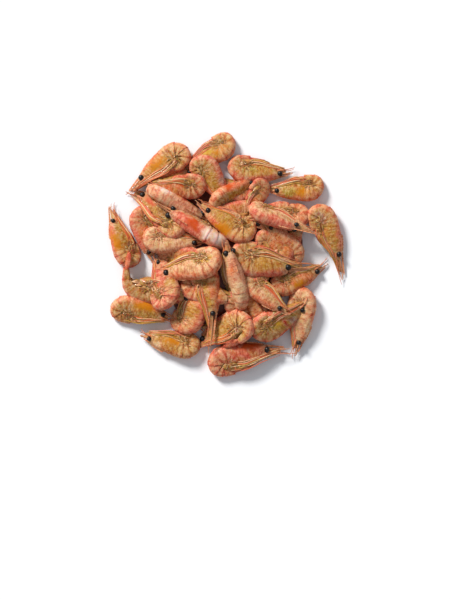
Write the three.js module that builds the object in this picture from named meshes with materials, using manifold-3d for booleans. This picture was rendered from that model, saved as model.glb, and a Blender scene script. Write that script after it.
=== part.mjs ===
// A heap of cooked whole northern shrimps, as it lies after being tipped out on a flat surface.
// Millimetres, +Z up, the origin in the middle of the heap on the surface that carries it.
// +X and +Y are right and up in a picture taken from straight above.

import * as THREE from "three";
import { mergeVertices } from "three/addons/utils/BufferGeometryUtils.js";
import Module from "manifold-3d";

const wasm = await Module();
wasm.setup();

// Size of the heap in the picture: one pixel is 0.85 mm, from a shrimp's carapace of about 25 mm.
const MM_PER_PX = 0.85;
const HEAP_MIDDLE_PX = [226.6, 255];

// One shrimp of size 1, lying along its own axes: u forward, v towards the back, w sideways.
const SIDES = 6;
// A six-sided section is this much wider than the round one, so that its flats lie where the round
// one's sides are.
const FLATS = 1.1;
// The carapace and the head, one loft with the abdomen: distance forward of the carapace's rear edge,
// back above the axis, belly below it, half width.
const CARAPACE = [
  { u: 27, back: 5.6, belly: 2.4, half: 3.0 },
  { u: 21, back: 6.8, belly: 5.4, half: 4.8 },
  { u: 10, back: 7.7, belly: 7.6, half: 6.2 },
];
// The beak is the rostrum with the pale antennal scales beside it.
const BEAK = { v: 4.6, thick: 0.6 };
const EYE_AT = { u: 26.5, v: 3.0, w: 3.2 };
const EYE_RADIUS = 2.5;
// The six rings of the abdomen: length, bend of the full curl in degrees, and at the front of the ring
// its back above the axis, belly below it and half width.
const RINGS = [
  { length: 5.0, bend: 8, back: 6.9, belly: 7.4, half: 5.9 },
  { length: 5.5, bend: 26, back: 6.9, belly: 7.0, half: 5.9 },
  { length: 6.5, bend: 48, back: 6.5, belly: 6.2, half: 5.6 },
  { length: 5.0, bend: 50, back: 5.8, belly: 5.6, half: 5.2 },
  { length: 4.5, bend: 40, back: 4.9, belly: 5.0, half: 4.6 },
  { length: 9.5, bend: 20, back: 4.0, belly: 4.4, half: 3.8 },
];
// The tail fan behind them: length from the last ring, half depth, half width.
const FAN = [
  { s: 2, depth: 2.4, half: 3.6 },
  { s: 12, depth: 0.9, half: 4.6 },
];
// The legs lie in the hollow of the curl as one bundle, from the mouth to its rear end.
const LEG_SIDES = 4;
const LEGS = [
  { u: 23, v: -3.5, back: 2, belly: 4.5, half: 2.2 },
  { u: 6, v: -8, back: 4, belly: 6.5, half: 4.8 },
  { u: -9, v: -6.5, back: 2, belly: 4, half: 2.4 },
];

// The core under the shrimps that show: a low, uneven dome with a flat base.
const CORE_HEIGHT = 13;
const CORE_RADIUS = 60;
const CORE_LUMP = 0.07;
const CORE_RINGS = 3;
const CORE_SECTORS = 14;

// How shrimps come to rest: bodies press into each other a little, and lean no more than this slope.
const PRESS = 0.94;
const PRESS_DEPTH = 0.6;
const STEEPEST = 0.5;
const SLOPE_STEPS = 10;
// What hangs this far below a body's middle reaches down between the others, and doesn't carry it.
const HANGS_BELOW = 4;

// The shrimps that show, from the lowest to the highest. eye and bend are pixels of the picture: the
// eye, and the round end where the abdomen turns back. roll 0 has the back to the left of the head's
// direction, 90 has it up, 180 to the right. curl 1 is the full curl, beak is how far the head's point
// reaches past the eye, in mm.
const SHRIMPS = [
  { name: "west_inner", eye: [148, 252], bend: [137, 207], roll: 180, curl: 1.0, beak: 8, sink: 0 },
  { name: "west_rim", eye: [112, 221], bend: [131, 267], roll: 0, curl: 1.0, beak: 15, sink: 0 },
  { name: "stretched_tail", eye: [187, 297], bend: [122, 280], roll: 180, curl: 0.5, beak: 8, sink: 0 },
  { name: "north_tail_up", eye: [280, 174], bend: [228, 168], roll: 180, curl: 1.0, beak: 8, sink: 0 },
  { name: "north_top", eye: [193, 164], bend: [235, 141], roll: 0, curl: 1.0, beak: 8, sink: 0 },
  { name: "under_amber", eye: [189, 171], bend: [147, 191], roll: 0, curl: 1.0, beak: 8, sink: 0 },
  { name: "east_under", eye: [258, 226], bend: [310, 215], roll: 0, curl: 1.0, beak: 6, sink: 0 },
  { name: "east_rim", eye: [339.5, 254], bend: [318, 204], roll: 0, curl: 1.0, beak: 20, sink: 0 },
  { name: "east_low", eye: [317.5, 271.5], bend: [272, 290], roll: 180, curl: 1.0, beak: 10, sink: 0 },
  { name: "south_east_rim", eye: [300, 342.5], bend: [306, 288], roll: 0, curl: 1.0, beak: 9, sink: 0 },
  { name: "south_rim", eye: [266.5, 349], bend: [208, 363], roll: 0, curl: 1.0, beak: 15, sink: 0 },
  { name: "south_west_low", eye: [148.5, 339.5], bend: [199, 350], roll: 0, curl: 1.0, beak: 5, sink: 0 },
  { name: "south_west_rim", eye: [163, 314], bend: [111, 305], roll: 0, curl: 1.0, beak: 8, sink: 0 },
  { name: "short_back", eye: [238, 283], bend: [262, 329], roll: 90, curl: 0.8, beak: 8, sink: 4 },
  { name: "south_east_inner", eye: [302, 309.5], bend: [254, 337], roll: 180, curl: 1.0, beak: 7, sink: 0 },
  { name: "west_round", eye: [158, 262], bend: [172, 307], roll: 180, curl: 1.0, beak: 8, sink: 0 },
  {
    name: "amber_north_west", eye: [141.5, 177.5], bend: [186, 146], roll: 180, curl: 1.0, beak: 17, sink: 0,
  },
  { name: "north_middle", eye: [224, 197], bend: [199, 155], roll: 0, curl: 1.0, beak: 6, sink: 0 },
  { name: "north_inner", eye: [157, 187], bend: [206, 188], roll: 0, curl: 1.0, beak: 6, sink: 0 },
  { name: "orange_middle", eye: [249, 181], bend: [209, 206], roll: 40, curl: 1.0, beak: 8, sink: 1 },
  { name: "red_tail", eye: [246, 215], bend: [267, 180], roll: 0, curl: 1.0, beak: 6, sink: 0 },
  { name: "under_east", eye: [268.5, 228], bend: [303, 260], roll: 140, curl: 1.0, beak: 15, sink: 0 },
  { name: "east_middle", eye: [294, 229], bend: [249, 208], roll: 150, curl: 1.0, beak: 23, sink: 0 },
  { name: "north_east_rim", eye: [277, 191], bend: [324, 188], roll: 0, curl: 1.0, beak: 14, sink: 0 },
  { name: "west_peach", eye: [195, 244], bend: [143, 240], roll: 180, curl: 1.0, beak: 6, sink: 0 },
  { name: "red_scaled", eye: [142, 194], bend: [187, 230], roll: 180, curl: 1.0, beak: 11, sink: 0 },
  { name: "long_pale", eye: [200, 213], bend: [147, 187], roll: 75, curl: 0.75, beak: 6, sink: 4 },
  { name: "south_east_middle", eye: [279, 309.5], bend: [244, 276], roll: 180, curl: 1.0, beak: 10, sink: 0 },
  { name: "south_round", eye: [202, 338.5], bend: [251, 317], roll: 180, curl: 0.95, beak: 14, sink: 0 },
  { name: "south_west_round", eye: [203, 290], bend: [183, 334], roll: 180, curl: 1.0, beak: 6, sink: 0 },
  { name: "south_middle", eye: [213, 313.5], bend: [204, 262], roll: 0, curl: 1.0, beak: 30, sink: 0 },
  { name: "east_large", eye: [288, 267.5], bend: [231, 258], roll: 180, curl: 1.0, beak: 16, sink: 0 },
  { name: "west_large", eye: [166, 272.5], bend: [223, 262], roll: 0, curl: 1.0, beak: 10, sink: 0 },
  { name: "back_up_south", eye: [223, 252], bend: [237, 309], roll: 90, curl: 0.7, beak: 5, sink: 6 },
  { name: "back_up_top", eye: [174, 210], bend: [228, 245], roll: 90, curl: 0.65, beak: 13, sink: 6 },
  { name: "amber_top", eye: [207.5, 212], bend: [252, 239], roll: 0, curl: 1.0, beak: 12, sink: 0 },
];

// These have their heads under the others, so they need no eyes.
const HIDDEN_HEADS = new Set([
  "stretched_tail",
  "north_top",
  "east_under",
  "short_back",
  "west_round",
  "north_middle",
  "north_inner",
  "red_tail",
  "west_peach",
  "south_west_round",
]);

const radians = THREE.MathUtils.degToRad;

// The stations of the abdomen, from its first ring to the tip of the fan, for one curl.
function abdomenStations(curl) {
  const stations = [];
  let u = 0;
  let v = 0;
  let angle = 0;
  for (const ring of RINGS) {
    const { length, bend, ...section } = ring;
    stations.push({ u, v, angle, ...section });
    const turn = radians(bend * curl);
    u -= length * Math.cos(angle + turn / 2);
    v -= length * Math.sin(angle + turn / 2);
    angle += turn;
  }
  for (const { s, depth, half } of FAN) {
    const there = { u: u - s * Math.cos(angle), v: v - s * Math.sin(angle) };
    stations.push({ ...there, angle, back: depth, belly: depth, half });
  }
  return stations;
}

// The stations of one body, from the tip of the beak to the tip of the tail fan. The carapace covers
// the front of the first ring.
function bodyStations({ curl, beak }) {
  const { v, thick } = BEAK;
  const tip = { u: EYE_AT.u + beak, v, angle: 0, back: thick, belly: thick, half: thick };
  const carapace = CARAPACE.map((station) => ({ v: 0, angle: 0, ...station }));
  return [tip, ...carapace, ...abdomenStations(curl).slice(1)];
}

// A closed solid through a row of stations. Each has SIDES corners, the first on the back.
function loft(stations, sides = SIDES) {
  const points = [];
  const faces = [];
  for (const { u, v, angle, back, belly, half } of stations) {
    for (let k = 0; k < sides; k++) {
      const t = (2 * Math.PI * k) / sides;
      const height = Math.cos(t) * (Math.cos(t) > 0 ? back : belly);
      points.push([u - Math.sin(angle) * height, v + Math.cos(angle) * height, Math.sin(t) * half * FLATS]);
    }
  }
  for (let i = 0; i + 1 < stations.length; i++) {
    for (let k = 0; k < sides; k++) {
      const a = i * sides + k;
      const b = i * sides + ((k + 1) % sides);
      faces.push([a, b, a + sides], [b, b + sides, a + sides]);
    }
  }
  const last = (stations.length - 1) * sides;
  for (let k = 1; k + 1 < sides; k++) faces.push([0, k + 1, k], [last, last + k, last + k + 1]);
  return { points, faces };
}

// An eight-faced lump, for an eye.
function lump({ u, v, w }, radius) {
  return new THREE.OctahedronGeometry(radius, 0).translate(u, v, w);
}

function geometryOf({ points, faces }) {
  const geometry = new THREE.BufferGeometry();
  geometry.setAttribute("position", new THREE.Float32BufferAttribute(points.flat(), 3));
  geometry.setIndex(faces.flat());
  return geometry;
}

function solidOf(geometry) {
  const bare = geometry.clone();
  bare.deleteAttribute("normal");
  bare.deleteAttribute("uv");
  const merged = mergeVertices(bare, 1e-4);
  const mesh = new wasm.Mesh({
    numProp: 3,
    vertProperties: merged.attributes.position.array,
    triVerts: new Uint32Array(merged.index.array),
  });
  const solid = new wasm.Manifold(mesh);
  if (solid.volume() > 0) return solid;
  const turned = merged.index.array;
  for (let i = 0; i < turned.length; i += 3) [turned[i], turned[i + 1]] = [turned[i + 1], turned[i]];
  return new wasm.Manifold(
    new wasm.Mesh({
      numProp: 3,
      vertProperties: merged.attributes.position.array,
      triVerts: new Uint32Array(turned),
    }),
  );
}

// The balls that stand for one body while it comes to rest: one at each station behind the beak.
const ballsOf = (stations) =>
  stations.slice(1).map(({ u, v, half, back }) => ({ u, v, w: 0, radius: Math.min(half, back + 1) }));

function coreHeight(x, y) {
  const turn = Math.atan2(y, x);
  const reach = CORE_RADIUS * (1 + CORE_LUMP * Math.sin(3 * turn + 1) + CORE_LUMP * 0.6 * Math.sin(5 * turn));
  const share = Math.hypot(x, y) / reach;
  return share < 1 ? CORE_HEIGHT * (1 - share ** 2.4) : 0;
}

const placePx = ([x, y]) => [(x - HEAP_MIDDLE_PX[0]) * MM_PER_PX, (HEAP_MIDDLE_PX[1] - y) * MM_PER_PX];

// The lowest rest of a set of balls over what already lies there: the slopes and the height of its middle.
function lowestRest(balls, middle, laid) {
  const carrying = balls.filter((ball) => ball.z > -HANGS_BELOW);
  const need = carrying.map((ball) => {
    let height = coreHeight(ball.x, ball.y) + ball.radius;
    for (const other of laid) {
      const reach = (ball.radius + other.radius) * PRESS;
      const apart = Math.hypot(ball.x - other.x, ball.y - other.y);
      if (apart < reach) height = Math.max(height, other.z + Math.sqrt(reach ** 2 - apart ** 2));
    }
    return height - ball.z;
  });
  const heightAt = (a, b) =>
    Math.max(...carrying.map((ball, i) => need[i] - a * (ball.x - middle.x) - b * (ball.y - middle.y)));
  let best = { a: 0, b: 0, c: heightAt(0, 0) };
  let step = STEEPEST / SLOPE_STEPS;
  for (let i = -SLOPE_STEPS; i <= SLOPE_STEPS; i++) {
    for (let j = -SLOPE_STEPS; j <= SLOPE_STEPS; j++) {
      if (Math.hypot(i, j) > SLOPE_STEPS) continue;
      const c = heightAt(i * step, j * step);
      if (c < best.c - 1e-6) best = { a: i * step, b: j * step, c };
    }
  }
  return best;
}

// Where one shrimp lies: its size and heading put its eye and its bend over the two pixels of the picture.
function layDown(shrimp, laid) {
  const stations = bodyStations(shrimp);
  const roll = radians(shrimp.roll);
  const reach = (station) => station.u - Math.sin(station.angle) * station.back;
  const rearmost = stations.reduce((a, b) => (reach(a) < reach(b) ? a : b));
  const ownX = EYE_AT.u - reach(rearmost);
  const ownY = (EYE_AT.v - rearmost.v) * Math.cos(roll);
  const eye = placePx(shrimp.eye);
  const bend = placePx(shrimp.bend);
  const size = Math.hypot(eye[0] - bend[0], eye[1] - bend[1]) / Math.hypot(ownX, ownY);
  const heading = Math.atan2(eye[1] - bend[1], eye[0] - bend[0]) - Math.atan2(ownY, ownX);
  const turn = new THREE.Matrix4().makeRotationZ(heading).multiply(new THREE.Matrix4().makeRotationX(roll));
  const own = new THREE.Vector3(EYE_AT.u, EYE_AT.v, 0).multiplyScalar(size).applyMatrix4(turn);
  const flat = new THREE.Matrix4().makeTranslation(eye[0] - own.x, eye[1] - own.y, -own.z);
  flat.multiply(turn).multiply(new THREE.Matrix4().makeScale(size, size, size));

  const balls = ballsOf(stations).map(({ u, v, w, radius }) => {
    const at = new THREE.Vector3(u, v, w).applyMatrix4(flat);
    return { x: at.x, y: at.y, z: at.z, radius: radius * size };
  });
  const middle = { x: 0, y: 0, z: 0 };
  for (const ball of balls) {
    middle.x += ball.x / balls.length;
    middle.y += ball.y / balls.length;
    middle.z += ball.z / balls.length;
  }
  for (const ball of balls) ball.z -= middle.z;
  const { a, b, c } = lowestRest(balls, middle, laid);
  const normal = new THREE.Vector3(-a, -b, 1).normalize();
  const lean = new THREE.Matrix4().makeRotationFromQuaternion(
    new THREE.Quaternion().setFromUnitVectors(new THREE.Vector3(0, 0, 1), normal),
  );
  const height = c - PRESS_DEPTH - shrimp.sink;
  const place = new THREE.Matrix4()
    .makeTranslation(middle.x, middle.y, height)
    .multiply(lean)
    .multiply(new THREE.Matrix4().makeTranslation(-middle.x, -middle.y, -middle.z))
    .multiply(flat);
  for (const { u, v, w, radius } of ballsOf(stations)) {
    const at = new THREE.Vector3(u, v, w).applyMatrix4(place);
    laid.push({ x: at.x, y: at.y, z: at.z, radius: radius * size });
  }
  return { place, stations, size, height };
}

// One shrimp as a list of overlapping closed solids in its own axes: the body, the legs, and each eye
// that shows.
function shrimpPieces(shrimp, stations) {
  const upward = Math.cos(radians(shrimp.roll));
  const eyes = HIDDEN_HEADS.has(shrimp.name) ? [] : [-1, 1].filter((side) => side * upward > -0.5);
  return [
    geometryOf(loft(stations)),
    geometryOf(loft(LEGS.map((station) => ({ angle: 0, ...station })), LEG_SIDES)),
    ...eyes.map((side) => lump({ ...EYE_AT, w: EYE_AT.w * side }, EYE_RADIUS)),
  ];
}

// The core's top is a grid of rings and sectors, and its base is flat.
function coreSolid() {
  const points = [[0, 0, CORE_HEIGHT]];
  for (let i = 1; i <= CORE_RINGS; i++) {
    for (let k = 0; k < CORE_SECTORS; k++) {
      const turn = (2 * Math.PI * k) / CORE_SECTORS;
      const lumps = CORE_LUMP * Math.sin(3 * turn + 1) + CORE_LUMP * 0.6 * Math.sin(5 * turn);
      const reach = CORE_RADIUS * (1 + lumps);
      const radius = (reach * i) / CORE_RINGS;
      const x = radius * Math.cos(turn);
      const y = radius * Math.sin(turn);
      points.push([x, y, coreHeight(x * 0.9999, y * 0.9999)]);
    }
  }
  for (const point of points.slice(-CORE_SECTORS)) point[2] = 0;
  const faces = [];
  const at = (i, k) => 1 + (i - 1) * CORE_SECTORS + (k % CORE_SECTORS);
  for (let k = 0; k < CORE_SECTORS; k++) {
    faces.push([0, at(1, k), at(1, k + 1)]);
    for (let i = 1; i < CORE_RINGS; i++) {
      faces.push([at(i, k), at(i + 1, k), at(i + 1, k + 1)], [at(i, k), at(i + 1, k + 1), at(i, k + 1)]);
    }
  }
  const base = points.length;
  points.push([0, 0, 0]);
  for (let k = 0; k < CORE_SECTORS; k++) faces.push([base, at(CORE_RINGS, k + 1), at(CORE_RINGS, k)]);
  return solidOf(geometryOf({ points, faces }));
}

const laid = [];
const solids = [coreSolid()];
for (const shrimp of SHRIMPS) {
  const { place, stations } = layDown(shrimp, laid);
  for (const geometry of shrimpPieces(shrimp, stations)) solids.push(solidOf(geometry.applyMatrix4(place)));
}

// Nothing reaches below the surface that carries the heap.
const SLAB = 400;
const below = solidOf(new THREE.BoxGeometry(SLAB, SLAB, SLAB).translate(0, 0, -SLAB / 2));
const whole = solids.reduce((sum, solid) => sum.add(solid)).subtract(below);
const heap = whole.decompose().reduce((a, b) => (a.volume() > b.volume() ? a : b));

function heapGeometry() {
  const { vertProperties, triVerts, numProp } = heap.getMesh();
  const geometry = new THREE.BufferGeometry();
  geometry.setAttribute("position", new THREE.BufferAttribute(new Float32Array(vertProperties), numProp));
  geometry.setIndex(new THREE.BufferAttribute(new Uint32Array(triVerts), 1));
  geometry.computeVertexNormals();
  return geometry;
}

const shell = new THREE.MeshStandardMaterial({ color: 0xd98a62, roughness: 0.35, metalness: 0 });
const heapMesh = new THREE.Mesh(heapGeometry(), shell);
heapMesh.name = "shrimp_heap";

const root = new THREE.Group();
root.add(heapMesh);

export default root;
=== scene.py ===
import math

import bpy
import numpy as np
from mathutils import Matrix, Vector


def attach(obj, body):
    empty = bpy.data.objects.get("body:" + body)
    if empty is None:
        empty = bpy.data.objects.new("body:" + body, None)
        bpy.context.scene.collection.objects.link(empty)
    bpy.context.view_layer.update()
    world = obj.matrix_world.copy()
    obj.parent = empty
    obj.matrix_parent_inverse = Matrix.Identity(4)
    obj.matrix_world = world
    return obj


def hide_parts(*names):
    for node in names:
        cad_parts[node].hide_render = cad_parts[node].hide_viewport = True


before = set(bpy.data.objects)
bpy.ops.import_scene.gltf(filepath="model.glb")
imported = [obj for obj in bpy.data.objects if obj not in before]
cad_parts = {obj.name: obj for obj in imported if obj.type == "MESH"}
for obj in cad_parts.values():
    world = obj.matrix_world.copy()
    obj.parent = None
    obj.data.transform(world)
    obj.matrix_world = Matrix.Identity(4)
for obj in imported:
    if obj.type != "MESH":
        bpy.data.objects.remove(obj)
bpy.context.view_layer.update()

# Camera. It looks straight down from 2.5 m, as over a packing table, and its frame is 451 by 600 pixels
# of 0.85 mm at the height of the heap's middle. The heap lies above the middle of the frame.
scene = bpy.context.scene
MM = 0.001
MM_PER_PX = 0.85
FRAME_PX = (451, 600)
HEAP_MIDDLE_PX = (226.6, 255.0)
CAMERA_HEIGHT = 2500 * MM
SHARP_HEIGHT = 16 * MM
SENSOR = 36.0
camera_data = bpy.data.cameras.new("camera")
camera_data.sensor_width = SENSOR
camera_data.lens = SENSOR * (CAMERA_HEIGHT - SHARP_HEIGHT) / (FRAME_PX[1] * MM_PER_PX * MM)
camera_data.clip_end = 20
camera = bpy.data.objects.new("camera", camera_data)
camera.location = (
    (FRAME_PX[0] / 2 - HEAP_MIDDLE_PX[0]) * MM_PER_PX * MM,
    (HEAP_MIDDLE_PX[1] - FRAME_PX[1] / 2) * MM_PER_PX * MM,
    CAMERA_HEIGHT,
)
scene.collection.objects.link(camera)
scene.camera = camera
scene.view_settings.view_transform = "Standard"


# Studio light. One large soft lamp stands far up and to the left, about 35 degrees above the table, so that
# its light is even, and the white room round it fills the shadows to a mid grey.
def linear(hex_colour):
    """A hex sRGB colour as linear RGBA."""
    parts = [int(hex_colour[i:i + 2], 16) / 255 for i in (1, 3, 5)]
    return tuple([p / 12.92 if p <= 0.04045 else ((p + 0.055) / 1.055) ** 2.4 for p in parts] + [1.0])


def rgb(hex_colour):
    """A hex sRGB colour as three linear numbers."""
    return np.array(linear(hex_colour)[:3])


LAMP_TOWARDS = Vector((-0.50, 0.62, 0.56)).normalized()
LAMP_STRENGTH = 4.12
LAMP_SPREAD_DEGREES = 16
ROOM_STRENGTH = 0.45
lamp_data = bpy.data.lights.new("softbox", "SUN")
lamp_data.angle = math.radians(LAMP_SPREAD_DEGREES)
lamp_data.energy = LAMP_STRENGTH
lamp = bpy.data.objects.new("softbox", lamp_data)
lamp.rotation_euler = LAMP_TOWARDS.to_track_quat("Z", "Y").to_euler()
scene.collection.objects.link(lamp)
room = bpy.data.worlds.new("white_room")
room.use_nodes = True
room.node_tree.nodes["Background"].inputs["Color"].default_value = linear("#EEF3FC")
room.node_tree.nodes["Background"].inputs["Strength"].default_value = ROOM_STRENGTH
scene.world = room


# Table: matt white sheet, 6 m wide, under the heap.
def give(tree, taker, **inputs):
    """Gives a node's inputs values or links. An input is named as in Blender with _ for a space, or by its
    number after in_."""
    for name, value in inputs.items():
        key = int(name[3:]) if name.startswith("in_") else name.replace("_", " ")
        if isinstance(value, bpy.types.NodeSocket):
            tree.links.new(value, taker.inputs[key])
        else:
            taker.inputs[key].default_value = value


def node(tree, kind, settings=None, **inputs):
    """Adds a node, sets its attributes, and gives its inputs values or links."""
    new = tree.nodes.new(kind)
    for name, value in (settings or {}).items():
        setattr(new, name, value)
    give(tree, new, **inputs)
    return new


def material(name):
    """A new material, its tree, and its shader node."""
    made = bpy.data.materials.new(name)
    made.use_nodes = True
    return made, made.node_tree, made.node_tree.nodes["Principled BSDF"]


FIELDS = {"FLOAT": "value", "FLOAT_VECTOR": "vector", "FLOAT_COLOR": "color"}


def mesh_of(name, points, edges, faces, **attributes):
    """A mesh, in metres, with an attribute of its points for each keyword: its type and its values."""
    mesh = bpy.data.meshes.new(name)
    mesh.from_pydata(points, edges, faces)
    for key, (kind, values) in attributes.items():
        mesh.attributes.new(key, kind, "POINT").data.foreach_set(FIELDS[kind], np.ravel(values))
    return mesh


white_sheet, tree, shader = material("matt_white_sheet")
give(tree, shader, Base_Color=linear("#F4F4F4"), Roughness=0.9, Specular_IOR_Level=0.0)
TABLE_HALF = 3.0
corners = [(x * TABLE_HALF, y * TABLE_HALF, 0) for x, y in ((-1, -1), (1, -1), (1, 1), (-1, 1))]
table_mesh = mesh_of("table", corners, [], [(0, 1, 2, 3)])
table_mesh.materials.append(white_sheet)
table = bpy.data.objects.new("table", table_mesh)
scene.collection.objects.link(table)

# How the shrimps lie. Sizes are for a shrimp of size 1, in mm: s runs backwards from the carapace's rear
# edge, where the shell reaches `back` above the axis, `belly` below it, and `half` to each side, and the
# rings' bends turn the abdomen under. Each row puts the eye and the round bend over two points of the frame.
RINGS = [(5.0, 8), (5.5, 26), (6.5, 48), (5.0, 50), (4.5, 40), (9.5, 20)]
SECTION_AT = [-27, -21, -10, 0, 5, 10.5, 17, 22, 26.5, 38]
BACK = [5.6, 6.8, 7.7, 7.4, 7.0, 6.6, 5.9, 5.0, 4.1, 2.4]
BELLY = [2.4, 6.0, 8.8, 8.0, 7.0, 6.2, 5.6, 5.0, 4.4, 2.4]
HALF = [3.0, 4.8, 6.2, 6.1, 5.9, 5.6, 5.2, 4.7, 4.0, 3.4]
EYE_U, EYE_V, EYE_W = 26.5, 3.0, 3.2
TUCKED_BENDS = [45, 10]
BACK_UP = 75
STRETCH_ABOUT = -3.5
# s, and how far the body reaches there to its back and to its sides, where it can rest on others.
REST = np.array([(-27, 5.6, 3.0), (-21, 6.8, 4.8), (-10, 7.7, 6.2), (5, 6.9, 5.9), (10.5, 6.5, 5.6),
                 (17, 5.8, 5.2), (22, 4.9, 4.6), (26.5, 4.0, 3.8), (38, 2.4, 3.6), (48, 0.9, 4.6)])
CORE_HEIGHT, CORE_RADIUS, CORE_LUMP = 13.0, 60.0, 0.07
PRESS, PRESS_DEPTH, STEEPEST, SLOPE_STEPS, HANGS_BELOW = 0.94, 0.6, 0.5, 10, 4.0
CLEARLY_LOWER = 1e-6

# Colours of the cooked shell: where the shell is thin the roe, the liver or the bare flesh shows through it.
PEACH, PALE, ROSE, TAN, CREAM = "#D87A46", "#DAA478", "#D4644A", "#BA8430", "#E8BC8C"
PINK_WHITE = "#F6D6C8"
AMBER, ORANGE, RED, OLIVE, YELLOW, MAUVE, BROWN = (
    "#C47400", "#BE4406", "#B43A20", "#A6882C", "#BE9020", "#BA9680", "#8C5A1C")

# Eye and bend are in px, roll is in degrees, beak is its length and sink how far the shrimp is pushed down,
# in mm, and back and side are colours. A patch is (colour, x px, y px, half length and half width in mm).
# Stretch makes some shrimps broader than the rest, from back to legs, so that they look round.
ROW = ("name", "eye", "bend", "roll", "beak", "back", "side", "patches", "stretch", "curl", "sink")
USUAL = dict(patches=[], stretch=1.0, curl=1.0, sink=0)
SHRIMPS = [
    ("west_inner", (148, 252), (137, 207), 180, 8, ROSE, PEACH, [], 1.1),
    ("west_rim", (112, 221), (131, 267), 0, 15, ROSE, TAN, [(AMBER, 116, 242, 10, 3.8)]),
    ("stretched_tail", (187, 297), (122, 280), 180, 8, ROSE, TAN, [], 1.0, 0.5),
    ("north_tail_up", (280, 174), (228, 168), 180, 8, ROSE, TAN,
     [(OLIVE, 248, 167, 8, 5), (RED, 246, 156, 9, 2.5)]),
    ("north_top", (193, 164), (235, 141), 0, 8, PEACH, TAN,
     [(AMBER, 222, 148, 8, 4), (YELLOW, 205, 153, 8, 2.5)], 1.10),
    ("under_amber", (189, 171), (147, 191), 0, 8, PEACH, TAN),
    ("east_under", (258, 226), (310, 215), 0, 6, ROSE, PEACH),
    ("east_rim", (339.5, 254), (318, 204), 0, 20, PEACH, TAN, [(MAUVE, 321, 218, 5, 4)]),
    ("east_low", (317.5, 271.5), (272, 290), 180, 10, PEACH, PEACH, [(AMBER, 300, 284, 7, 3)]),
    ("south_east_rim", (300, 342.5), (306, 288), 0, 9, PEACH, PALE, [(CREAM, 308, 328, 8, 3)]),
    ("south_rim", (266.5, 349), (208, 363), 0, 15, ROSE, ROSE, [(ORANGE, 253, 345.5, 12, 4.5)]),
    ("south_west_low", (148.5, 339.5), (199, 350), 0, 5, TAN, TAN,
     [(AMBER, 172, 341, 8, 3.5), (CREAM, 157, 345, 4, 3)]),
    ("south_west_rim", (163, 314), (111, 305), 0, 8, PEACH, TAN, [(AMBER, 145, 306, 11, 4.2)]),
    ("short_back", (238, 283), (262, 329), 90, 8, TAN, PEACH, [], 1.0, 0.8, 4),
    ("south_east_inner", (302, 309.5), (254, 337), 180, 7, ROSE, TAN,
     [(YELLOW, 273, 325, 7, 4), (RED, 285, 322, 2, 5), (MAUVE, 293, 320, 4, 3)], 1.08),
    ("west_round", (158, 262), (172, 307), 180, 8, ROSE, ROSE, [(TAN, 171, 284, 7, 5)], 1.32),
    ("amber_north_west", (141.5, 177.5), (186, 146), 180, 17, PEACH, TAN,
     [(AMBER, 157, 163, 10, 4.2)], 1.05),
    ("north_middle", (224, 197), (199, 155), 0, 6, ROSE, TAN, [(MAUVE, 222, 180, 4, 3)], 1.12),
    ("north_inner", (157, 187), (206, 188), 0, 6, ROSE, PEACH, [(ORANGE, 185, 184, 6, 3)]),
    ("orange_middle", (249, 181), (209, 206), 40, 8, PEACH, TAN,
     [(ORANGE, 229, 187, 5, 2.8)], 1.0, 1.0, 1),
    ("red_tail", (246, 215), (267, 180), 0, 6, ROSE, PEACH, [(RED, 246, 203, 11, 3.5)]),
    ("under_east", (268.5, 228), (303, 260), 140, 15, PALE, PEACH),
    ("east_middle", (294, 229), (249, 208), 150, 23, ROSE, PALE,
     [(OLIVE, 282, 206, 6, 4), (ROSE, 273, 218, 5, 3)]),
    ("north_east_rim", (277, 191), (324, 188), 0, 14, PEACH, TAN,
     [(OLIVE, 289, 192, 7, 4.5), (AMBER, 303, 192, 6, 4.5)], 1.08),
    ("west_peach", (195, 244), (143, 240), 180, 6, PALE, PALE),
    ("red_scaled", (142, 194), (187, 230), 180, 11, ROSE, TAN,
     [(ORANGE, 148, 200, 9, 2.6), (BROWN, 165, 212, 7, 3.5)], 1.12),
    ("long_pale", (200, 213), (147, 187), 75, 6, PALE, PEACH,
     [(PINK_WHITE, 166, 189, 8, 4), (RED, 185, 199, 3, 2)], 1.0, 0.75, 4),
    ("south_east_middle", (279, 309.5), (244, 276), 180, 10, PEACH, PALE, [(BROWN, 257, 284, 5, 4)]),
    ("south_round", (202, 338.5), (251, 317), 180, 14, ROSE, TAN, [(TAN, 234, 326, 10, 9)], 1.22, 0.95),
    ("south_west_round", (203, 290), (183, 334), 180, 6, ROSE, PEACH, [(TAN, 191, 313, 8, 7)], 1.36),
    ("south_middle", (213, 313.5), (204, 262), 0, 30, PEACH, TAN, [(PEACH, 212, 290, 9, 3)]),
    ("east_large", (288, 267.5), (231, 258), 180, 16, ROSE, TAN, [(TAN, 262, 264, 10, 3)], 1.16),
    ("west_large", (166, 272.5), (223, 262), 0, 10, PEACH, PALE, [(YELLOW, 203, 259, 8, 4)], 1.04),
    ("back_up_south", (223, 252), (242, 310), 90, 5, PALE, PALE,
     [(PEACH, 231, 272, 4, 4), (CREAM, 238, 290, 9, 6)], 1.0, 0.7, 6),
    ("back_up_top", (174, 210), (228, 245), 90, 13, ROSE, PALE,
     [(ORANGE, 193, 224, 7, 5), (PINK_WHITE, 207, 233, 4, 6), (PINK_WHITE, 218, 240, 7, 6)], 1.0, 0.65, 6),
    ("amber_top", (207.5, 212), (252, 239), 0, 12, PEACH, TAN, [(AMBER, 224, 229, 9.5, 4.4)], 1.10),
]
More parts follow.
